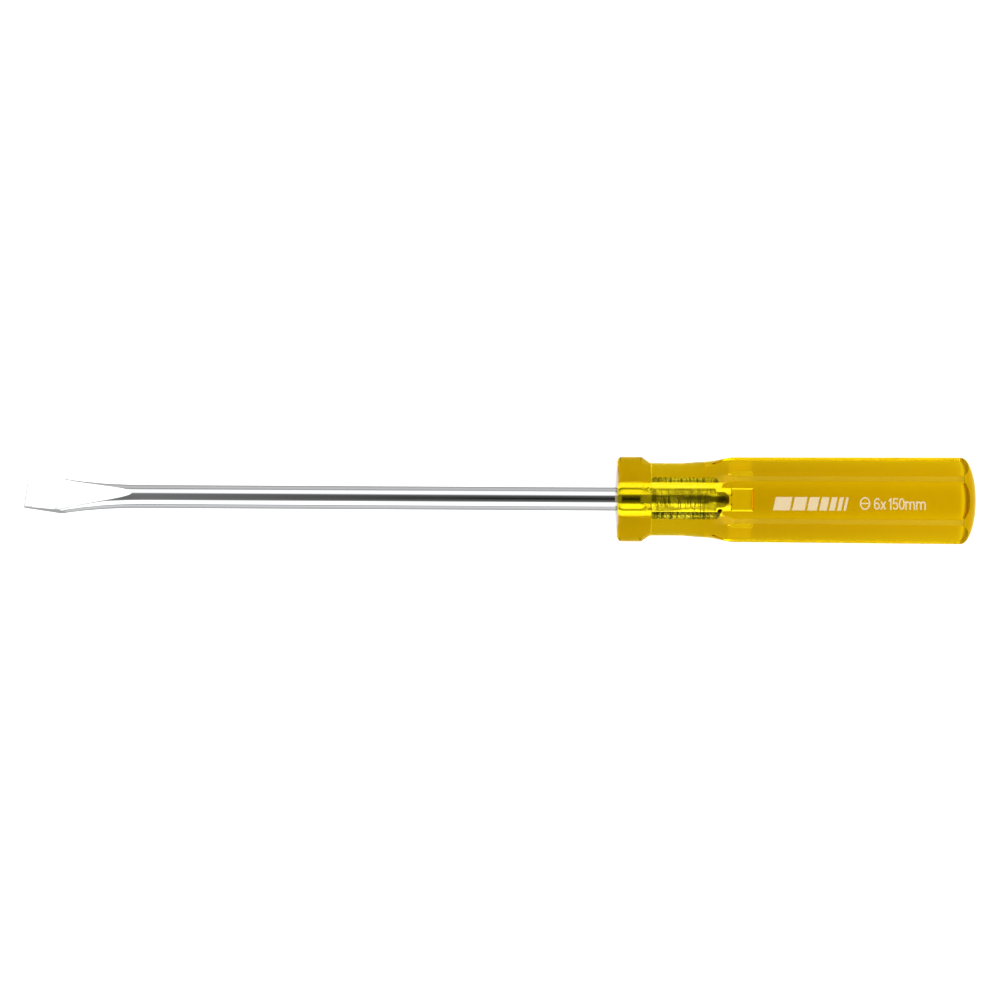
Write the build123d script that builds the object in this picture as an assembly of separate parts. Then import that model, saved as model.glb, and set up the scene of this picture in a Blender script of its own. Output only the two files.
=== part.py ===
from build123d import *
import os
from math import atan2, cos, degrees, hypot, pi, radians, sin, sqrt, tan

# Slotted screwdriver, 6 x 150 mm, with a solid translucent cellulose acetate handle.
# Frame: X runs along the tool from the blade tip (X = 0) to the butt of the handle,
# Z is up, normal to one of the six handle flats. Millimetres.

# ---- blade: one chrome plated steel bar ----
EXPOSED = 150.0        # tip to front face of the handle
SHAFT_R = 2.95         # round bar
TIP_HALF_W = 3.05      # half width at the very tip
TIP_HALF_T = 0.50      # half thickness at the very tip
FLARE_X = 9.9          # widest station of the flared tip
FLANK_HALF_W = 4.30    # half width that the straight ground flanks reach there
WEDGE_X = 27.4         # where the two ground faces run out on the round bar
ROLL = -20.0           # turn of the blade about X against the handle flats
# station, half width of the forged flare before the flanks are ground
FLARE = [(0.0, 5.85), (5.0, 5.22), (9.9, 4.57), (11.6, 4.27), (13.6, 3.99), (15.6, 3.73),
         (17.2, 3.58), (19.7, 3.33), (22.2, 3.18), (25.0, 3.06), (28.0, 2.98)]
FLARE_END = 30.5
TANG_END = 179.0       # the pointed end of the tang inside the handle
WING_X0 = 159.5        # pressed wings on the tang
WING_X1 = 177.0
WING_HALF_W = 3.85
WING_HALF_T = 0.8
WING_TEETH = 14

# ---- handle: one moulding ----
X0 = EXPOSED           # front face of the handle
COLLAR_R = 10.77
COLLAR_X1 = X0 + 6.87
NECK_X0 = X0 + 9.0
NECK_R = 9.24
FACE_SAGITTA = 0.60    # domed front face
FACE_EDGE_R = 9.45
GRIP_X0 = X0 + 29.9
GRIP_R0 = 10.76
GRIP_X1 = X0 + 87.97
GRIP_R1 = 11.02
BUTT_X = X0 + 91.74
FLAT_A0 = 9.71         # centre to flat at GRIP_X0
FLAT_A1 = 10.00        # centre to flat at GRIP_X1
FLAT_COUNT = 6
FLAT_START = X0 + 12.5
BORE_R = 3.05
POCKET_X = X0 + 29.4    # behind the tang the bore becomes a square pocket
POCKET_W = 5.9
BORE_END = X0 + 35.2

# ---- stamped foil ----
FOIL_T = 0.05
FOIL_GAP = 0.004       # adhesive film between the foil and the flat
STROKE = 0.36


def polar(r, a):
    return r * cos(radians(a)), r * sin(radians(a))


# ------------------------------------------------------------------ blade
def make_blade():
    # forged flare: elliptical sections that grow out of the round bar
    def station(x):
        return Plane(origin=(x, 0, 0), x_dir=(0, 1, 0), z_dir=(1, 0, 0))

    sections = [station(x) * Ellipse(w, SHAFT_R) for x, w in FLARE]
    sections.append(station(FLARE_END) * Circle(SHAFT_R))
    bar = loft(sections)
    # round bar, with the tang's chamfered end
    point = 1.2
    rod_profile = make_face(Polyline((FLARE_END, 0), (FLARE_END, SHAFT_R),
                                     (TANG_END - point, SHAFT_R),
                                     (TANG_END, SHAFT_R - point), (TANG_END, 0), close=True))
    bar = bar + revolve(Plane.XZ * rod_profile, Axis.X)
    # two inclined ground faces and two straight ground flanks
    slope = (SHAFT_R - TIP_HALF_T) / WEDGE_X
    x_w = WEDGE_X + 2.0
    face = make_face(Polyline((-1, TIP_HALF_T - slope), (x_w, TIP_HALF_T + slope * x_w),
                              (x_w, 9), (-1, 9), close=True))
    upper = extrude(Plane.XZ * face, 9, both=True)
    flank = (FLANK_HALF_W - TIP_HALF_W) / FLARE_X
    x_f = FLARE_X + 6.0
    face = make_face(Polyline((-1, TIP_HALF_W - flank), (x_f, TIP_HALF_W + flank * x_f),
                              (x_f, 9), (-1, 9), close=True))
    side = extrude(Plane.XY * face, 9, both=True)
    for cutter in (upper, Rot(180, 0, 0) * upper, side, Rot(180, 0, 0) * side):
        bar = bar - cutter
    # two pressed wings with saw teeth that lock the tang in the handle
    pitch = (WING_X1 - WING_X0) / WING_TEETH
    upper = []
    for i in range(WING_TEETH):
        xa = WING_X0 + i * pitch
        upper += [(xa, WING_HALF_W - 0.45), (xa + 0.75 * pitch, WING_HALF_W)]
    upper.append((WING_X1, WING_HALF_W - 0.45))
    outline = [(WING_X0 - 0.9, 1.5)] + upper + [(WING_X1 + 0.7, 1.5)]
    outline += [(x, -y) for x, y in reversed(outline)]
    wings = extrude(Plane.XY * make_face(Polyline(*outline, close=True)),
                    WING_HALF_T, both=True)
    return Rot(ROLL, 0, 0) * (bar + wings)


# ------------------------------------------------------------------ handle
def make_handle(blade):
    dome_R = (FACE_EDGE_R ** 2 + FACE_SAGITTA ** 2) / (2 * FACE_SAGITTA)

    def face_x(r):
        return X0 + dome_R - sqrt(dome_R ** 2 - r ** 2)

    rho = 1.2
    a = atan2(FACE_EDGE_R, dome_R)
    rc = COLLAR_R - rho
    r1 = rc + rho * sin(a)
    x1 = face_x(r1)
    xc = x1 + rho * cos(a)
    mid = radians((90 + degrees(a)) / 2)
    flare = [(X0 + 16.0, NECK_R - 0.02), (X0 + 17.7, 9.28), (X0 + 19.2, 9.38), (X0 + 20.7, 9.49),
             (X0 + 22.2, 9.58), (X0 + 23.8, 9.72), (X0 + 25.3, 9.95), (X0 + 26.8, 10.27),
             (X0 + 28.3, 10.56), (GRIP_X0, GRIP_R0)]
    dome_x, dome_r = BUTT_X - GRIP_X1, GRIP_R1
    dome = [(GRIP_X1 + dome_x * sin(radians(t)), dome_r * cos(radians(t)))
            for t in (0, 15, 30, 45, 60, 75, 90)]
    edges = [
        ThreePointArc((X0, 0), (face_x(r1 / 2), r1 / 2), (x1, r1)),
        ThreePointArc((x1, r1), (xc - rho * cos(mid), rc + rho * sin(mid)), (xc, COLLAR_R)),
        Line((xc, COLLAR_R), (COLLAR_X1, COLLAR_R)),
        Line((COLLAR_X1, COLLAR_R), (NECK_X0, NECK_R)),
        Line((NECK_X0, NECK_R), flare[0]),
        Spline(*flare, tangents=[(1, 0.01), (1, 0.005)]),
        Line(flare[-1], (GRIP_X1, GRIP_R1)),
        Spline(*dome, tangents=[(1, 0), (0, -1)]),
        Line((BUTT_X, 0), (X0, 0)),
    ]
    body = revolve(Plane.XZ * make_face(edges), Axis.X)
    # six flats, leaving round lands between them
    lean = (FLAT_A1 - FLAT_A0) / (GRIP_X1 - GRIP_X0)
    x_b = BUTT_X + 5
    a_a = FLAT_A0 + lean * (FLAT_START - GRIP_X0)
    a_b = FLAT_A0 + lean * (x_b - GRIP_X0)
    side = extrude(
        Plane.XZ * make_face(Polyline((FLAT_START, a_a), (x_b, a_b), (x_b, 16),
                                      (FLAT_START, 16), close=True)), 12, both=True)
    for k in range(FLAT_COUNT):
        body = body - Rot(k * 360 / FLAT_COUNT, 0, 0) * side
    bore = Plane(origin=(X0 - 1, 0, 0), x_dir=(0, 1, 0), z_dir=(1, 0, 0)) * Circle(BORE_R)
    body = body - extrude(bore, POCKET_X - X0 + 1)
    pocket = Plane(origin=(POCKET_X - 0.1, 0, 0), x_dir=(0, 1, 0), z_dir=(1, 0, 0)) \
        * RectangleRounded(POCKET_W, POCKET_W, 0.4)
    body = body - extrude(pocket, BORE_END - POCKET_X + 0.1)
    return body - blade


# ------------------------------------------------------------------ stamped foil
def band(points, width=STROKE):
    """The outline of a line of constant width, mitred at its corners."""
    left, right = [], []
    n = len(points)
    for i, (x, y) in enumerate(points):
        xa, ya = points[max(i - 1, 0)]
        xb, yb = points[min(i + 1, n - 1)]
        ta = atan2(y - ya, x - xa) if i > 0 else atan2(yb - y, xb - x)
        tb = atan2(yb - y, xb - x) if i < n - 1 else ta
        turn = tb - ta
        turn = (turn + pi) % (2 * pi) - pi
        mid = ta + turn / 2 + pi / 2
        d = width / 2 / max(cos(turn / 2), 0.5)
        left.append((x + d * cos(mid), y + d * sin(mid)))
        right.append((x - d * cos(mid), y - d * sin(mid)))
    return left + right[::-1]


def arc_points(cx, cy, rx, ry, a0, a1, n=10):
    return [(cx + rx * cos(radians(a0 + (a1 - a0) * i / n)),
             cy + ry * sin(radians(a0 + (a1 - a0) * i / n))) for i in range(n + 1)]


def slab(outline):
    return extrude(make_face(Polyline(*outline, close=True)), FOIL_T, dir=(0, 0, 1))


def ring(cx, cy, rx, ry, width=STROKE, n=28):
    outer = arc_points(cx, cy, rx, ry, 0, 360, n)[:-1]
    inner = arc_points(cx, cy, rx - width, ry - width, 0, 360, n)[:-1]
    return slab(outer) - slab(inner)


def make_marking():
    h = 2.95           # height of the figures
    base = -2.32       # their base line, off the centre of the flat
    s = STROKE / 2
    glyphs = []
    # slotted drive symbol: a ring with a bar across it
    cx, cy = 212.95, base + 1.55
    glyphs.append(ring(cx, cy, 1.32, 1.62) + slab([(cx - 1.1, cy - 0.16), (cx + 1.1, cy - 0.16),
                                                   (cx + 1.1, cy + 0.16), (cx - 1.1, cy + 0.16)]))
    # 6
    x = 215.97
    glyphs.append(ring(x, base + 0.92, 0.76, 0.92)
                  + slab(band([(x - 0.76 + s, base + 0.95)]
                              + arc_points(x + 0.05, base + h - 0.95, 0.81 - s, 0.95 - s, 180, 30, 8))))
    # x
    x = 217.55
    glyphs.append(slab(band([(x - 0.58, base + 0.05), (x + 0.58, base + 2.08)]))
                  + slab(band([(x - 0.58, base + 2.08), (x + 0.58, base + 0.05)])))
    # 1
    x = 219.42
    glyphs.append(slab([(x - 0.55, base + h - 0.95), (x - 0.16, base + h - 0.78), (x - 0.16, base),
                        (x + 0.20, base), (x + 0.20, base + h), (x - 0.06, base + h),
                        (x - 0.55, base + h - 0.60)]))
    # 5
    x = 220.62
    glyphs.append(slab(band([(x + 0.62, base + h - s), (x - 0.42, base + h - s), (x - 0.53, base + 1.40)]))
                  + slab(band(arc_points(x - 0.04, base + 0.97, 0.78 - s, 0.97 - s, 140, -150, 14))))
    # 0
    glyphs.append(ring(222.22, base + h / 2, 0.76, h / 2))
    # m m
    for x in (223.25, 225.98):
        top = 2.15
        stem = slab([(x - s, base), (x + s, base), (x + s, base + top), (x - s, base + top)])
        first = slab(band([(x, base + top - 0.75)] + arc_points(x + 0.53, base + top - 0.66, 0.53, 0.66 - s, 180, 0, 8)
                          + [(x + 1.06, base)]))
        second = slab(band([(x + 1.06, base + top - 0.75)]
                           + arc_points(x + 1.59, base + top - 0.66, 0.53, 0.66 - s, 180, 0, 8)
                           + [(x + 2.12, base)]))
        glyphs.append(stem + first + second)
    # plain slanted bars, growing narrower towards the butt
    y0, y1 = -2.62, 0.76
    slant = (y1 - y0) * tan(radians(12))
    x = 189.74
    for width in (4.2, 3.2, 2.45, 1.9, 1.4, 1.0, 0.65):
        glyphs.append(slab([(x, y0), (x + width, y0), (x + width + slant, y1), (x + slant, y1)]))
        x += width + 0.60
    lean = (FLAT_A1 - FLAT_A0) / (GRIP_X1 - GRIP_X0)
    x_m = 209.0
    z_m = FLAT_A0 + lean * (x_m - GRIP_X0) + FOIL_GAP
    tilt = degrees(atan2(lean, 1))
    place = Pos(x_m, 0, z_m) * Rot(0, -tilt, 0) * Pos(-x_m, 0, 0)
    solids = []
    for g in glyphs:
        solids += list(g.solids())
    return place * Compound(children=solids)


os.makedirs("parts", exist_ok=True)
blade = make_blade()
handle = make_handle(blade)
foil_marking = make_marking()
for name, shape in (("blade", blade), ("handle", handle), ("foil_marking", foil_marking)):
    box = shape.bounding_box()
    print(name, len(shape.solids()), "solids", round(shape.volume, 2), "mm3",
          [round(v, 3) for v in (box.min.X, box.min.Y, box.min.Z)],
          [round(v, 3) for v in (box.max.X, box.max.Y, box.max.Z)])
    export_step(shape, f"parts/{name}.step")
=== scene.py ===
import math
import random

import bmesh
import bpy
import numpy as np
from mathutils import Matrix, Vector


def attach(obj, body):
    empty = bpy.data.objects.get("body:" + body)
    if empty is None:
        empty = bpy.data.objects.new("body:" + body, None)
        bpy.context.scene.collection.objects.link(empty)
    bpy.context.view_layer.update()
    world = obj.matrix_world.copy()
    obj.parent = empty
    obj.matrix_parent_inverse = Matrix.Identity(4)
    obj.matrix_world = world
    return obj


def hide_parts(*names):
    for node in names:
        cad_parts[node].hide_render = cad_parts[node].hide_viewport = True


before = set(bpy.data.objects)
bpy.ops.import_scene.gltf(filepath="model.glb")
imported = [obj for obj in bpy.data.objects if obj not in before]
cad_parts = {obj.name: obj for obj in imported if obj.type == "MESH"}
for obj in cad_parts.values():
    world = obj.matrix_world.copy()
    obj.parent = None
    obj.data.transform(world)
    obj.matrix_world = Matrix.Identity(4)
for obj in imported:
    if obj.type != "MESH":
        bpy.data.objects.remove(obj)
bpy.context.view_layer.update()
MM = 0.001
rng = random.Random(7)


def rad(d):
    return math.radians(d)


def smooth(a, b, t):
    u = min(max((t - a) / (b - a), 0.0), 1.0)
    return u * u * (3 - 2 * u)


def smin(a, b, k):
    """Smooth minimum: the smaller of the two, blended over about k."""
    h = max(k - abs(a - b), 0.0) / k
    return min(a, b) - h * h * k / 4


def interp(points, x):
    xs = [p[0] for p in points]
    ys = [p[1] for p in points]
    return float(np.interp(x, xs, ys))


def hermite(points, x):
    """A smooth curve through the points (Catmull-Rom in x)."""
    n = len(points)
    if x <= points[0][0]:
        return points[0][1]
    if x >= points[-1][0]:
        return points[-1][1]
    i = next(j for j in range(n - 1) if points[j][0] <= x <= points[j + 1][0])

    def slope(j):
        a, b = max(j - 1, 0), min(j + 1, n - 1)
        return (points[b][1] - points[a][1]) / (points[b][0] - points[a][0])

    x0, y0 = points[i]
    x1, y1 = points[i + 1]
    w = x1 - x0
    t = (x - x0) / w
    return ((2 * t ** 3 - 3 * t * t + 1) * y0 + (t ** 3 - 2 * t * t + t) * w * slope(i)
            + (3 * t * t - 2 * t ** 3) * y1 + (t ** 3 - t * t) * w * slope(i + 1))


def spread(a, b, n):
    return [a + (b - a) * i / n for i in range(n + 1)]


def mesh_object(name, verts, faces, material, smooth_shade=True):
    me = bpy.data.meshes.new(name)
    me.from_pydata([tuple(c * MM for c in v) for v in verts], [], faces)
    me.validate()
    bm = bmesh.new()
    bm.from_mesh(me)
    bmesh.ops.remove_doubles(bm, verts=bm.verts, dist=2e-7)
    bmesh.ops.dissolve_degenerate(bm, edges=bm.edges, dist=1e-7)
    bmesh.ops.recalc_face_normals(bm, faces=bm.faces)
    for f in bm.faces:
        f.smooth = smooth_shade
    bm.to_mesh(me)
    bm.free()
    me.materials.append(material)
    ob = bpy.data.objects.new(name, me)
    bpy.context.scene.collection.objects.link(ob)
    return ob


# ------------------------------------------------------------------ handle sizes
X0 = 150.0
COLLAR_R = 10.77
BORE_R = 3.05
BORE_END = X0 + 35.2
POCKET_X, POCKET_W = X0 + 29.4, 5.9
GRIP_X0, GRIP_R0 = X0 + 29.9, 10.76
GRIP_X1, GRIP_R1 = X0 + 87.97, 11.02
BUTT_X = X0 + 91.74
FLAT_A0, FLAT_A1 = 9.71, 10.00
FACE_SAG, FACE_EDGE_R, FACE_RHO = 0.60, 9.45, 1.2


# ------------------------------------------------------------------ materials
def new_material(name):
    m = bpy.data.materials.new(name)
    m.use_nodes = True
    nt = m.node_tree
    nt.nodes.clear()
    out = nt.nodes.new("ShaderNodeOutputMaterial")
    bsdf = nt.nodes.new("ShaderNodeBsdfPrincipled")
    nt.links.new(bsdf.outputs["BSDF"], out.inputs["Surface"])
    return m, nt, bsdf, out


def noise(nt, scale, detail=3.0, stretch=None, rough=0.5):
    co = nt.nodes.new("ShaderNodeTexCoord")
    mp = nt.nodes.new("ShaderNodeMapping")
    nt.links.new(co.outputs["Object"], mp.inputs["Vector"])
    if stretch:
        mp.inputs["Scale"].default_value = stretch
    tx = nt.nodes.new("ShaderNodeTexNoise")
    tx.inputs["Scale"].default_value = scale
    tx.inputs["Detail"].default_value = detail
    tx.inputs["Roughness"].default_value = rough
    nt.links.new(mp.outputs["Vector"], tx.inputs["Vector"])
    return tx


def remap(nt, socket, lo, hi, from_lo=0.3, from_hi=0.7):
    r = nt.nodes.new("ShaderNodeMapRange")
    r.inputs["From Min"].default_value = from_lo
    r.inputs["From Max"].default_value = from_hi
    r.inputs["To Min"].default_value = lo
    r.inputs["To Max"].default_value = hi
    nt.links.new(socket, r.inputs["Value"])
    return r


def mixed(nt, fac, a, b):
    mx = nt.nodes.new("ShaderNodeMix")
    mx.data_type = "RGBA"
    mx.inputs[6].default_value = (*a, 1)
    mx.inputs[7].default_value = (*b, 1)
    nt.links.new(fac, mx.inputs[0])
    return mx.outputs[2]


def bump(nt, height, strength, distance, normal=None):
    b = nt.nodes.new("ShaderNodeBump")
    b.inputs["Strength"].default_value = strength
    b.inputs["Distance"].default_value = distance
    nt.links.new(height, b.inputs["Height"])
    if normal is not None:
        nt.links.new(normal, b.inputs["Normal"])
    return b.outputs["Normal"]


def chrome_material():
    m, nt, p, _ = new_material("chrome_plate")
    p.inputs["Metallic"].default_value = 1.0
    fine = noise(nt, 900, 4.0, (0.05, 1.0, 1.0))
    nt.links.new(mixed(nt, fine.outputs["Fac"], (0.39, 0.393, 0.40), (0.43, 0.432, 0.438)),
                 p.inputs["Base Color"])
    p.inputs["Specular Tint"].default_value = (0.40, 0.40, 0.40, 1.0)
    nt.links.new(remap(nt, fine.outputs["Fac"], 0.045, 0.10).outputs[0], p.inputs["Roughness"])
    wave = noise(nt, 160, 2.0, (0.12, 1.0, 1.0))
    nt.links.new(bump(nt, wave.outputs["Fac"], 0.10, 0.00002), p.inputs["Normal"])
    return m


def ground_material():
    m, nt, p, _ = new_material("ground_chrome")
    p.inputs["Metallic"].default_value = 1.0
    lines = noise(nt, 2600, 3.0, (1.0, 0.03, 0.03))
    nt.links.new(mixed(nt, lines.outputs["Fac"], (0.70, 0.705, 0.71), (0.78, 0.785, 0.79)),
                 p.inputs["Base Color"])
    nt.links.new(remap(nt, lines.outputs["Fac"], 0.12, 0.22).outputs[0], p.inputs["Roughness"])
    nt.links.new(bump(nt, lines.outputs["Fac"], 0.16, 0.00002), p.inputs["Normal"])
    return m


def tang_material():
    m, nt, p, _ = new_material("tang_steel")
    p.inputs["Metallic"].default_value = 1.0
    grain = noise(nt, 1500, 5.0)
    marks = noise(nt, 2200, 2.0, (1.0, 0.12, 0.12))
    co = nt.nodes.new("ShaderNodeTexCoord")
    sep = nt.nodes.new("ShaderNodeSeparateXYZ")
    nt.links.new(co.outputs["Object"], sep.inputs[0])
    # the last stretch of the bar is coloured nearly black
    end = remap(nt, sep.outputs[0], 1.0, 0.0, 175.6 * MM, 176.6 * MM)
    cut = remap(nt, marks.outputs["Fac"], 0.0, 1.0, 0.40, 0.50)
    streak = noise(nt, 620, 3.0, (0.16, 1.0, 1.0))
    both = nt.nodes.new("ShaderNodeMath")
    both.operation = "MULTIPLY"
    nt.links.new(cut.outputs[0], both.inputs[0])
    nt.links.new(remap(nt, streak.outputs["Fac"], 0.15, 1.0, 0.40, 0.58).outputs[0], both.inputs[1])
    bright = mixed(nt, grain.outputs["Fac"], (0.42, 0.42, 0.41), (0.66, 0.66, 0.64))
    mx = nt.nodes.new("ShaderNodeMix")
    mx.data_type = "RGBA"
    nt.links.new(both.outputs[0], mx.inputs[0])
    mx.inputs[6].default_value = (0.12, 0.12, 0.115, 1)
    nt.links.new(bright, mx.inputs[7])
    mx2 = nt.nodes.new("ShaderNodeMix")
    mx2.data_type = "RGBA"
    nt.links.new(end.outputs[0], mx2.inputs[0])
    mx2.inputs[6].default_value = (0.055, 0.055, 0.055, 1)
    nt.links.new(mx.outputs[2], mx2.inputs[7])
    nt.links.new(mx2.outputs[2], p.inputs["Base Color"])
    nt.links.new(remap(nt, grain.outputs["Fac"], 0.08, 0.22).outputs[0], p.inputs["Roughness"])
    nt.links.new(bump(nt, grain.outputs["Fac"], 0.35, 0.00004), p.inputs["Normal"])
    return m


ACETATE_IOR = 1.48
ABSORB_COLOR = (0.9846, 0.9335, 0.0, 1.0)
ABSORB_DENSITY = 260.0


def acetate_material():
    m, nt, p, out = new_material("amber_acetate")
    p.inputs["Base Color"].default_value = (1.0, 0.98, 0.60, 1.0)
    p.inputs["Specular Tint"].default_value = (1.0, 0.80, 0.10, 1.0)
    p.inputs["Metallic"].default_value = 0.0
    p.inputs["Transmission Weight"].default_value = 1.0
    p.inputs["IOR"].default_value = ACETATE_IOR
    haze = noise(nt, 420, 3.0, (0.35, 1.0, 1.0))
    gloss = remap(nt, haze.outputs["Fac"], 0.02, 0.06).outputs[0]
    ripple = noise(nt, 150, 2.0, (0.25, 1.0, 1.0))
    wavy = bump(nt, ripple.outputs["Fac"], 0.10, 0.00003)
    # the six polished flats carry a thin release film; the turned surfaces and the lands don't
    co = nt.nodes.new("ShaderNodeTexCoord")
    sep = nt.nodes.new("ShaderNodeSeparateXYZ")
    nt.links.new(co.outputs["Object"], sep.inputs[0])

    def calc(op, *args):
        n = nt.nodes.new("ShaderNodeMath")
        n.operation = op
        for i, v in enumerate(args):
            if isinstance(v, (int, float)):
                n.inputs[i].default_value = v
            else:
                nt.links.new(v, n.inputs[i])
        return n.outputs[0]

    x, y, z = sep.outputs
    radial = calc("SQRT", calc("ADD", calc("MULTIPLY", y, y), calc("MULTIPLY", z, z)))
    turn = calc("PINGPONG", calc("ABSOLUTE", calc("ARCTAN2", y, z)), rad(30))
    apothem = calc("MULTIPLY", radial, calc("COSINE", turn))
    flat = calc("MULTIPLY_ADD", x, (FLAT_A1 - FLAT_A0) / (GRIP_X1 - GRIP_X0),
                (FLAT_A0 - GRIP_X0 * (FLAT_A1 - FLAT_A0) / (GRIP_X1 - GRIP_X0)) * MM)
    short = calc("SUBTRACT", flat, apothem)
    off_flat = remap(nt, short, 0.0, 1.0, 0.02 * MM, 0.09 * MM).outputs[0]
    outside = calc("GREATER_THAN", radial, 8.9 * MM)
    front = remap(nt, x, 1.0, 0.0, (X0 + 23.5) * MM, (X0 + 26.0) * MM).outputs[0]
    butt = remap(nt, x, 0.0, 1.0, (GRIP_X1 - 0.2) * MM, GRIP_X1 * MM).outputs[0]
    rim = remap(nt, x, 1.0, 0.0, (X0 + 1.2) * MM, (X0 + 1.6) * MM).outputs[0]
    front = calc("SUBTRACT", front, rim)
    turned = calc("MAXIMUM", front, butt)
    hollow = calc("MULTIPLY", calc("GREATER_THAN", x, (POCKET_X - 0.01) * MM), calc("SUBTRACT", 1.0, outside))
    film = calc("MAXIMUM", turned, calc("SUBTRACT", 1.0, off_flat))
    film = calc("MAXIMUM", calc("MULTIPLY", film, outside), hollow)
    nt.links.new(calc("MULTIPLY", film, 140.0), p.inputs["Thin Film Thickness"])
    # the round lands between the flats are scuffed from use
    land = calc("MULTIPLY", calc("MULTIPLY", off_flat, outside),
                remap(nt, x, 0.0, 1.0, (X0 + 29.0) * MM, (X0 + 31.0) * MM).outputs[0])
    land = calc("MULTIPLY", land, calc("SUBTRACT", 1.0, butt))
    satin = calc("ADD", calc("MULTIPLY", land, 0.46), calc("MULTIPLY", butt, 0.20))
    nt.links.new(calc("ADD", satin, gloss), p.inputs["Roughness"])
    p.inputs["Thin Film IOR"].default_value = 1.22
    # small nicks on the edge of the collar, next to the neck
    nicks = noise(nt, 900, 2.0, (1.0, 0.7, 0.7))
    near = calc("MULTIPLY", remap(nt, x, 0.0, 1.0, (X0 + 6.3) * MM, (X0 + 7.0) * MM).outputs[0],
                remap(nt, x, 1.0, 0.0, (X0 + 9.0) * MM, (X0 + 9.7) * MM).outputs[0])
    pits = calc("MULTIPLY", remap(nt, nicks.outputs["Fac"], 0.0, 1.0, 0.56, 0.70).outputs[0], near)
    nt.links.new(bump(nt, pits, 0.55, 0.00012, wavy), p.inputs["Normal"])
    vol = nt.nodes.new("ShaderNodeVolumeAbsorption")
    vol.inputs["Color"].default_value = ABSORB_COLOR
    vol.inputs["Density"].default_value = ABSORB_DENSITY
    nt.links.new(vol.outputs["Volume"], out.inputs["Volume"])
    return m


def foil_material():
    m, nt, p, _ = new_material("stamped_foil")
    speck = noise(nt, 3200, 3.0)
    nt.links.new(mixed(nt, speck.outputs["Fac"], (0.74, 0.565, 0.315), (0.85, 0.69, 0.42)),
                 p.inputs["Base Color"])
    nt.links.new(remap(nt, speck.outputs["Fac"], 0.35, 0.55).outputs[0], p.inputs["Roughness"])
    nt.links.new(bump(nt, speck.outputs["Fac"], 0.2, 0.00002), p.inputs["Normal"])
    return m


CHROME = chrome_material()
GROUND = ground_material()
TANG = tang_material()
ACETATE = acetate_material()
FOIL = foil_material()

# ------------------------------------------------------------------ handle
PROFILE_FLARE = [(X0 + 9.0, 9.24), (X0 + 16.0, 9.22), (X0 + 17.7, 9.28), (X0 + 19.2, 9.38), (X0 + 20.7, 9.49),
                 (X0 + 22.2, 9.58), (X0 + 23.8, 9.72), (X0 + 25.3, 9.95), (X0 + 26.8, 10.27),
                 (X0 + 28.3, 10.56), (X0 + 29.9, 10.76), (X0 + 33.0, 10.775), (X0 + 60.0, 10.895)]


def handle_rings():
    """(x, r) down the outline, from the mouth of the bore to the centre of the butt."""
    dome = (FACE_EDGE_R ** 2 + FACE_SAG ** 2) / (2 * FACE_SAG)

    def face_x(r):
        return X0 + dome - math.sqrt(dome ** 2 - r ** 2)

    a = math.atan2(FACE_EDGE_R, dome)
    rc = COLLAR_R - FACE_RHO
    r1 = rc + FACE_RHO * math.sin(a)
    xc = face_x(r1) + FACE_RHO * math.cos(a)
    rings = []
    # mouth of the bore, slightly rounded
    rings += [(face_x(BORE_R) + 0.16, BORE_R + 0.0), (face_x(BORE_R) + 0.05, BORE_R + 0.04),
              (face_x(BORE_R + 0.16), BORE_R + 0.16)]
    rings += [(face_x(r), r) for r in spread(BORE_R + 0.5, r1, 14)]
    for t in spread(math.degrees(a), 90, 12)[1:]:
        rings.append((xc - FACE_RHO * math.cos(rad(t)), rc + FACE_RHO * math.sin(rad(t))))
    # collar: straight, then the chamfer, both edges softened
    x_c, x_n = X0 + 6.87, X0 + 9.0
    slope = (9.24 - COLLAR_R) / (x_n - x_c)
    rings += [(x, COLLAR_R) for x in spread(xc + 0.5, x_c - 0.35, 8)]
    for t in spread(-0.32, 0.32, 8):
        rings.append((x_c + t, COLLAR_R + (0 if t < 0 else slope * t) - 0.08 * (1 - abs(t) / 0.32) ** 2))
    rings += [(x_c + t, COLLAR_R + slope * t) for t in spread(0.45, x_n - x_c - 0.45, 4)]
    for t in spread(-0.36, 0.36, 8):
        rings.append((x_n + t, 9.24 + (slope * t if t < 0 else 0) + 0.09 * (1 - abs(t) / 0.36) ** 2))
    rings += [(x, hermite(PROFILE_FLARE, x)) for x in spread(x_n + 0.8, X0 + 16.5, 9)]
    rings += [(x, hermite(PROFILE_FLARE, x)) for x in spread(X0 + 16.8, X0 + 32.5, 84)]
    lean = (GRIP_R1 - GRIP_R0) / (GRIP_X1 - GRIP_X0)
    rings += [(x, GRIP_R0 + lean * (x - GRIP_X0)) for x in spread(X0 + 34.0, GRIP_X1 - 1.5, 34)]
    rings += [(x, GRIP_R0 + lean * (x - GRIP_X0)) for x in spread(GRIP_X1 - 1.2, GRIP_X1 - 0.3, 5)]
    depth = BUTT_X - GRIP_X1
    for t in spread(0, 90, 60)[:-1]:
        r = GRIP_R1 * math.cos(rad(t))
        soft = 0.05 * max(0.0, 1 - t / 8.0) ** 2
        rings.append((GRIP_X1 + depth * math.sin(rad(t)), r - soft))
    return rings


def sector_angles():
    """Angles over one 60 degree sector, closer together at the two ridges."""
    ridge = 25.2
    offs = spread(0, 1, 1)
    out = []
    for a, b, n in ((0.0, ridge - 2.2, 9), (ridge - 2.2, ridge + 2.2, 12), (ridge + 2.2, 30.0, 3)):
        out += spread(a, b, n)[:-1]
    out.append(30.0)
    half = out
    full = half + [60.0 - t for t in reversed(half[:-1])]
    return full[:-1]


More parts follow.
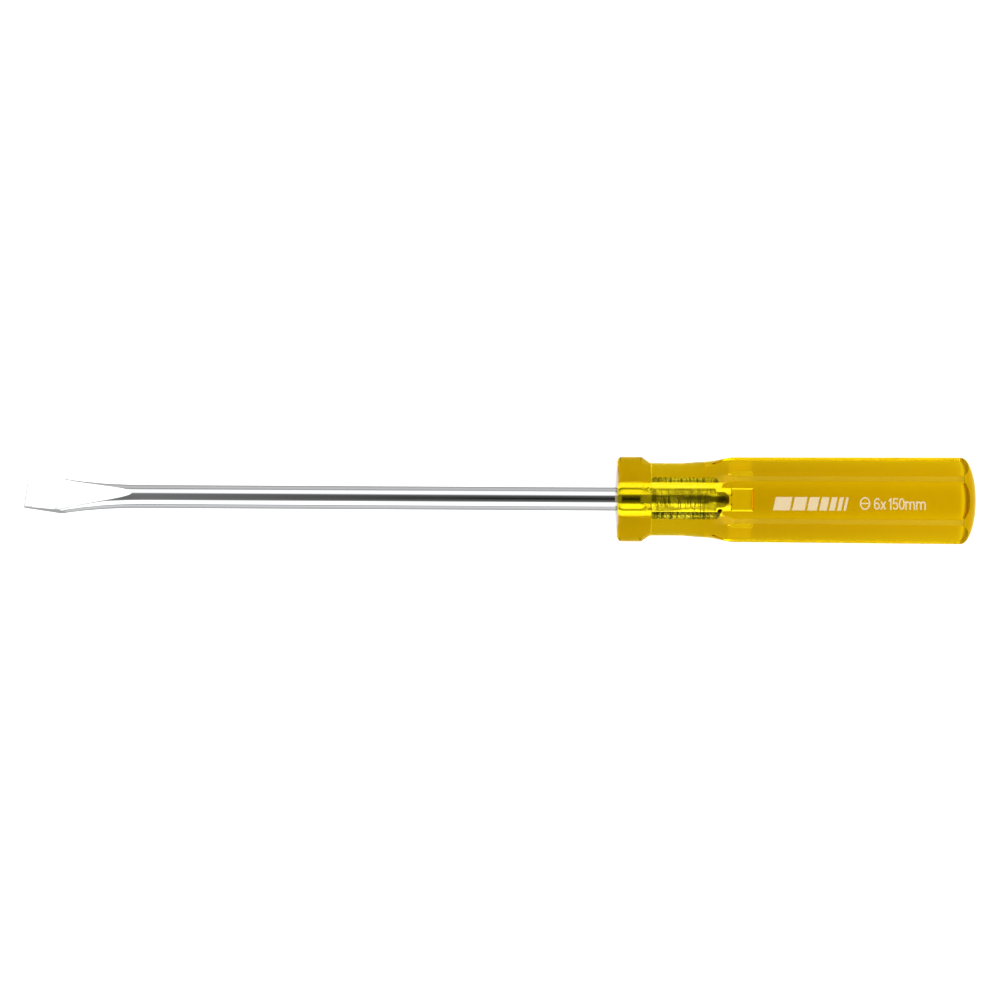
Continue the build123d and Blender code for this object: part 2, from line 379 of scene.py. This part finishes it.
def build_handle():
    angles = [k * 60.0 + t for k in range(6) for t in sector_angles()]
    n = len(angles)
    verts, faces, rows = [], [], []
    lean = (FLAT_A1 - FLAT_A0) / (GRIP_X1 - GRIP_X0)

    def add_row(x, radius_at):
        row = []
        for t in angles:
            r = radius_at(t)
            row.append(len(verts))
            # angle 0 points along +Z
            verts.append((x, r * math.sin(rad(t)), r * math.cos(rad(t))))
        rows.append(row)

    # square pocket, then the bore, from the closed end out to the mouth
    def square(t):
        c = max(abs(math.cos(rad(t))), abs(math.sin(rad(t))))
        return min(POCKET_W / 2 / c, POCKET_W / 2 * math.sqrt(2) - 0.17)

    for k in (0.35, 0.70, 0.96):
        add_row(BORE_END, lambda t, k=k: k * square(t))
    add_row(BORE_END - 0.05, square)
    for x in spread(BORE_END - 0.6, POCKET_X + 0.02, 8):
        add_row(x, square)
    add_row(POCKET_X, lambda t: BORE_R)
    for x in [POCKET_X - 0.05] + spread(POCKET_X - 1.0, X0 + 2.0, 20) + [X0 + 0.9]:
        add_row(x, lambda t: BORE_R)
    for x, big in handle_rings():
        a = FLAT_A0 + lean * (x - GRIP_X0)
        if x < X0 + 13:
            add_row(x, lambda t, big=big: big)
            continue

        def radius(t, big=big, a=a, x=x):
            d = (t + 30.0) % 60.0 - 30.0
            flat = a / math.cos(rad(d))
            k = 0.07 if x < GRIP_X1 - 0.5 else 0.09
            return smin(big, flat, k)

        add_row(x, radius)
    for ra, rb in zip(rows, rows[1:]):
        for i in range(n):
            j = (i + 1) % n
            faces.append((ra[i], ra[j], rb[j], rb[i]))
    c = len(verts)
    verts.append((BORE_END, 0, 0))
    faces += [(c, rows[0][(i + 1) % n], rows[0][i]) for i in range(n)]
    c = len(verts)
    verts.append((BUTT_X, 0, 0))
    faces += [(c, rows[-1][i], rows[-1][(i + 1) % n]) for i in range(n)]
    return mesh_object("handle_moulding", verts, faces, ACETATE)


handle = build_handle()
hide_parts("handle")
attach(handle, "root")

# ------------------------------------------------------------------ blade
ROLL = -20.0
SHAFT_R = 2.95
WEDGE_X = 27.4
TIP_T, TIP_W = 0.50, 3.05
FLANK_SLOPE = (4.30 - 3.05) / 9.9
FLARE = [(0.0, 5.85), (5.0, 5.22), (9.9, 4.57), (11.6, 4.27), (13.6, 3.99), (15.6, 3.73),
         (17.2, 3.58), (19.7, 3.33), (22.2, 3.18), (25.0, 3.06), (28.0, 2.98), (30.5, 2.95), (40.0, 2.95)]
TANG_END = 179.0


N_FLAT, N_FIL, N_ELL, N_FLANK = 10, 4, 16, 4
EDGE = 0.06                     # how far the rounding of the ground edges reaches


def section(x):
    """The ring of (y, z) at a station: ground faces, rounded edges, forged sides and ground flanks."""
    w = hermite(FLARE, x)
    h = min(TIP_T + (SHAFT_R - TIP_T) * x / WEDGE_X, SHAFT_R)
    f = min(TIP_W + FLANK_SLOPE * x, w)
    y_e = w * math.sqrt(max(0.0, 1 - (h / SHAFT_R) ** 2))
    z_f = min(SHAFT_R * math.sqrt(max(0.0, 1 - (f / w) ** 2)), h)
    c = min(f, y_e)
    e = min(EDGE, 0.45 * c)
    t_f = math.asin(min(z_f / SHAFT_R, 1.0))
    if y_e <= f:
        t_c = math.asin(min(h / SHAFT_R, 1.0))
        speed = math.hypot(w * math.sin(t_c), SHAFT_R * math.cos(t_c))
        t_2 = max(t_c - e / max(speed, 1e-6), t_f)
        p2 = (w * math.cos(t_2), SHAFT_R * math.sin(t_2))
    else:
        t_2 = t_f
        p2 = (f, h - min(e, 0.45 * h))
        z_f = p2[1]
    p0, p1 = (c - e, h), (c, h)
    quarter = [p0]
    for i in range(1, N_FIL):
        u = i / N_FIL
        quarter.append(tuple((1 - u) ** 2 * p0[k] + 2 * u * (1 - u) * p1[k] + u * u * p2[k] for k in (0, 1)))
    quarter.append(p2)
    for i in range(1, N_ELL + 1):
        if y_e <= f:
            t = t_2 + (t_f - t_2) * i / N_ELL
            quarter.append((min(w * math.cos(t), f), SHAFT_R * math.sin(t)))
        else:
            quarter.append(p2)
    z_last = quarter[-1][1]
    for i in range(1, N_FLANK + 1):
        quarter.append((f, z_last * (1 - i / N_FLANK)))
    top = [(-p0[0] + 2 * p0[0] * i / N_FLAT, h) for i in range(N_FLAT)]
    right = quarter + [(y, -z) for y, z in reversed(quarter[:-1])]
    bottom = [(p0[0] - 2 * p0[0] * i / N_FLAT, -h) for i in range(1, N_FLAT)]
    left = [(-y, z) for y, z in reversed(right)]
    return top[1:] + right + bottom + left


def build_blade():
    verts, faces, rows = [], [], []
    cr, sr = math.cos(rad(ROLL)), math.sin(rad(ROLL))

    def place(x, y, z):
        # the end is ground a little out of square
        x = x + 0.30 * (1 + y / 3.05) * max(0.0, 1 - x / 9.0)
        return (x, y * cr - z * sr, y * sr + z * cr)

    def add(x, ring):
        row = []
        for y, z in ring:
            row.append(len(verts))
            verts.append(place(x, y, z))
        rows.append(row)

    stations = [0.06] + spread(0.5, 8.0, 16) + spread(8.2, 12.0, 20) + spread(12.5, 26.0, 28) \
        + spread(26.15, WEDGE_X, 10) + spread(WEDGE_X + 0.3, 31.0, 8) + spread(33.0, 148.0, 46)
    ring0 = section(0.0)
    inset = [(y * (1 - 0.05 / 3.05), z * (1 - 0.05 / 0.5)) for y, z in ring0]
    add(0.0, inset)
    for x in stations:
        add(x, section(x))
    # tang: pressed wings with teeth, and a rough serrated bar between them
    pitch = 1.25
    x = 150.0
    ring_n = len(ring0)
    base = section(148.0)
    while x < TANG_END - 1.35:
        u = smooth(158.2, 159.6, x) * (1 - smooth(176.2, 177.6, x))
        phase = (x - 159.5) / pitch
        tooth = phase - math.floor(phase)
        tooth = (tooth / 0.78) if tooth < 0.78 else (1 - (tooth - 0.78) / 0.22)
        ring = []
        for y, z in base:
            t = math.degrees(math.atan2(z, abs(y)))
            lobe = math.exp(-(t / 17.0) ** 4)
            rr = SHAFT_R + u * lobe * (0.72 + 0.18 * tooth)
            rr -= u * (1 - lobe) * (0.05 + 0.05 * (0.5 + 0.5 * math.sin(x * 2 * math.pi / 0.62))
                                    + 0.03 * math.sin(x * 3.1 + t * 0.11) ** 2)
            k = rr / math.hypot(y, z)
            ring.append((y * k, z * k))
        add(x, ring)
        x += 0.11 if 158.0 < x < 178.0 else 0.8
    for x, k in ((TANG_END - 1.2, 1.0), (TANG_END - 0.8, 0.86), (TANG_END - 0.4, 0.72), (TANG_END, 0.58)):
        add(x, [(y * k, z * k) for y, z in base])
    n = ring_n
    for a, b in zip(rows, rows[1:]):
        for i in range(n):
            j = (i + 1) % n
            faces.append((a[i], b[i], b[j], a[j]))
    # end cap of the tip: quads between the two ground faces, and a face at each side
    m = N_FLAT - 1                       # points strictly between the rounded edges
    side = len(ring0) // 2 - m
    first = rows[0]
    top = [first[-1]] + first[:m] + [first[m]]
    bottom = [first[m + side - 1]] + first[m + side:m + side + m] + [first[m + side + m]]
    bottom = bottom[::-1]
    faces += [(top[i], top[i + 1], bottom[i + 1], bottom[i]) for i in range(m + 1)]
    faces.append(tuple(first[m:m + side]))
    faces.append(tuple(first[2 * m + side:]))
    faces.append(tuple(reversed(rows[-1])))
    ob = mesh_object("blade_bar", verts, faces, CHROME)
    ob.data.materials.append(GROUND)
    ob.data.materials.append(TANG)
    for p in ob.data.polygons:
        cx = p.center.x / MM
        nz = p.normal.y * sr * -1 + p.normal.z * cr
        if cx > 158.6:
            p.material_index = 2
        elif cx < WEDGE_X and abs(nz) > 0.985:
            p.material_index = 1
    wn = ob.modifiers.new("weighted", "WEIGHTED_NORMAL")
    wn.mode = "FACE_AREA_WITH_ANGLE"
    wn.weight = 50
    return ob


blade = build_blade()
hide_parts("blade")
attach(blade, "root")

# ------------------------------------------------------------------ stamped foil (CAD shape, new material)
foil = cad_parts["foil_marking"]
foil.data.materials.clear()
foil.data.materials.append(FOIL)

# ------------------------------------------------------------------ floor, light, camera
FLOOR_Z = -0.0109
me = bpy.data.meshes.new("floor")
s = 4.0
me.from_pydata([(-s, -s, FLOOR_Z), (s, -s, FLOOR_Z), (s, s, FLOOR_Z), (-s, s, FLOOR_Z)], [], [(0, 1, 2, 3)])
floor = bpy.data.objects.new("floor", me)
bpy.context.scene.collection.objects.link(floor)
fm, fnt, fp, _ = new_material("pale_floor")
fp.inputs["Base Color"].default_value = (0.5, 0.5, 0.5, 1)
fp.inputs["Emission Color"].default_value = (1, 1, 1, 1)
f_co = fnt.nodes.new("ShaderNodeTexCoord")
f_sep = fnt.nodes.new("ShaderNodeSeparateXYZ")
fnt.links.new(f_co.outputs["Object"], f_sep.inputs[0])


def fmath(op, a, b):
    n = fnt.nodes.new("ShaderNodeMath")
    n.operation = op
    for i, v in enumerate((a, b)):
        if isinstance(v, (int, float)):
            n.inputs[i].default_value = v
        else:
            fnt.links.new(v, n.inputs[i])
    return n.outputs[0]


f_x, f_y, _ = f_sep.outputs
# painted shade: the floor's glow is darker towards +Y and brighter towards -Y
f_side_shade = remap(fnt, f_y, 1.02, 0.66, -0.12, 0.12).outputs[0]
# painted shadow and painted amber light: under the handle the floor's glow is dimmed and tinted amber, standing in
# for the shade the handle casts and the light that comes through the amber
f_shade_width = fnt.nodes.new("ShaderNodeValToRGB")
f_shade_width.color_ramp.interpolation = "LINEAR"
f_shade_stops = [(150.0, 8.8), (156.0, 9.0), (159.0, 7.2), (168.0, 7.2), (178.0, 8.8), (242.0, 9.2)]
f_el = f_shade_width.color_ramp.elements
while len(f_el) < len(f_shade_stops):
    f_el.new(0.5)
for e, (px, hw) in zip(f_el, f_shade_stops):
    e.position = (px - 140.0) / 110.0
    e.color = (hw / 10.0, hw / 10.0, hw / 10.0, 1)
fnt.links.new(remap(fnt, f_x, 0.0, 1.0, 140.0 * MM, 250.0 * MM).outputs[0], f_shade_width.inputs[0])
f_over = fmath("SUBTRACT", fmath("ABSOLUTE", f_y, 0), fmath("MULTIPLY", f_shade_width.outputs[0], 10.0 * MM))
f_side = remap(fnt, f_over, 0.0, 1.0, 0.0, 1.6 * MM).outputs[0]
f_front = remap(fnt, f_x, 1.0, 0.0, 150.0 * MM, 152.0 * MM).outputs[0]
f_rear = remap(fnt, f_x, 0.0, 1.0, 238.2 * MM, 241.2 * MM).outputs[0]
f_geo = fnt.nodes.new("ShaderNodeNewGeometry")
f_unshaded = fmath("MAXIMUM", f_side, fmath("MAXIMUM", f_front, f_rear))
f_unshaded = fmath("MAXIMUM", f_unshaded, f_geo.outputs["Backfacing"])
# painted shade: under the handle the glow is dimmer at the front and brighter towards the butt
f_painted_shade = remap(fnt, f_x, 0.35, 0.46, 186.0 * MM, 240.0 * MM).outputs[0]
# painted light: a brighter patch of glow on the floor under the pocket
f_pocket_light = fmath("MULTIPLY", fmath("LESS_THAN", fmath("ABSOLUTE", fmath("SUBTRACT", f_x, 182.3 * MM), 0), 2.9 * MM),
                 fmath("LESS_THAN", fmath("ABSOLUTE", f_y, 0), 2.95 * MM))
f_painted_shade = fmath("ADD", f_painted_shade, fmath("MULTIPLY", f_pocket_light, 0.10))
f_mix = fnt.nodes.new("ShaderNodeMix")
fnt.links.new(f_unshaded, f_mix.inputs[0])
fnt.links.new(f_painted_shade, f_mix.inputs[2])
fnt.links.new(f_side_shade, f_mix.inputs[3])
fnt.links.new(f_mix.outputs[0], fp.inputs["Emission Strength"])
# painted amber light: the glow under the handle is amber, elsewhere it is white
fnt.links.new(mixed(fnt, f_unshaded, (1.0, 0.77, 0.05), (1.0, 1.0, 1.0)), fp.inputs["Emission Color"])
fp.inputs["Roughness"].default_value = 1.0
fp.inputs["Specular IOR Level"].default_value = 0.0
me.materials.append(fm)

LIGHT = 1.0
world = bpy.data.worlds.new("soft_studio")
bpy.context.scene.world = world
world.use_nodes = True
wt = world.node_tree
wt.nodes.clear()
w_out = wt.nodes.new("ShaderNodeOutputWorld")
w_bg = wt.nodes.new("ShaderNodeBackground")
wt.links.new(w_bg.outputs[0], w_out.inputs[0])


def wmath(op, a, b=None, clamp=False):
    n = wt.nodes.new("ShaderNodeMath")
    n.operation = op
    n.use_clamp = clamp
    for i, v in enumerate((a, b)):
        if v is None:
            continue
        if isinstance(v, (int, float)):
            n.inputs[i].default_value = v
        else:
            wt.links.new(v, n.inputs[i])
    return n.outputs[0]


w_co = wt.nodes.new("ShaderNodeTexCoord")
w_sep = wt.nodes.new("ShaderNodeSeparateXYZ")
wt.links.new(w_co.outputs["Generated"], w_sep.inputs[0])
dx, dy, dz = w_sep.outputs
ay = wmath("ARCTAN2", wmath("ABSOLUTE", dy), dz)          # angle from the zenith across the tool
ax = wmath("ARCTAN2", wmath("SUBTRACT", dx, 0.018), dz)   # along the tool
ramp = wt.nodes.new("ShaderNodeValToRGB")
stops = [(0, 0.02), (5, 0.035), (10, 0.13), (14, 0.17), (24, 0.24), (31, 0.6), (37, 2.0), (43, 3.2), (73, 3.2), (81, 1.5), (90, 0.8),
         (180, 0.8)]
el = ramp.color_ramp.elements
while len(el) < len(stops):
    el.new(0.5)
top_v = 3.2
for e, (deg, v) in zip(el, stops):
    e.position = deg / 180.0
    e.color = (v / top_v, v / top_v, v / top_v, 1)
wt.links.new(wmath("DIVIDE", ay, math.pi), ramp.inputs[0])
side_gain = wmath("ADD", 0.88, wmath("MULTIPLY", wmath("SIGN", dy), -0.12))
across = wmath("MULTIPLY", wmath("MULTIPLY", ramp.outputs[0], top_v * 1.06), side_gain)
# away from the line above the tool the room is evenly pale
g = wmath("DIVIDE", ax, wmath("ADD", rad(6.25), wmath("MULTIPLY", wmath("SIGN", ax), rad(1.25))))
lobe = wmath("EXPONENT", wmath("MULTIPLY", wmath("MULTIPLY", g, g), -1.0))
pale = 0.55
lift = wmath("MULTIPLY", wmath("SUBTRACT", 1.0, lobe), pale)
both = wmath("MAXIMUM", across, lift)
gw = wmath("DIVIDE", ax, rad(62))
wide = wmath("EXPONENT", wmath("MULTIPLY", wmath("MULTIPLY", gw, gw), -1.0))
final = wmath("MAXIMUM", wmath("MULTIPLY", both, wide), lift)
wt.links.new(final, w_bg.inputs["Strength"])
w_bg.inputs["Color"].default_value = (1, 1, 1, 1)

sc = bpy.context.scene
sc.view_settings.view_transform = "Standard"
sc.view_settings.look = "None"
sc.view_settings.exposure = 0.0
sc.view_settings.gamma = 1.0

PX = 3.933                      # picture units per millimetre
DIST = 1.2
cam_data = bpy.data.cameras.new("camera")
cam_data.sensor_width = 36.0
cam_data.lens = 36.0 * DIST / (1000.0 / PX * MM)
cam_data.clip_start = 0.01
cam_data.clip_end = 20.0
cam = bpy.data.objects.new("camera", cam_data)
sc.collection.objects.link(cam)
cam.location = (120.9 * MM, -0.40 * MM, DIST)
cam.rotation_euler = (0.0, 0.0, rad(0.315))
sc.camera = cam
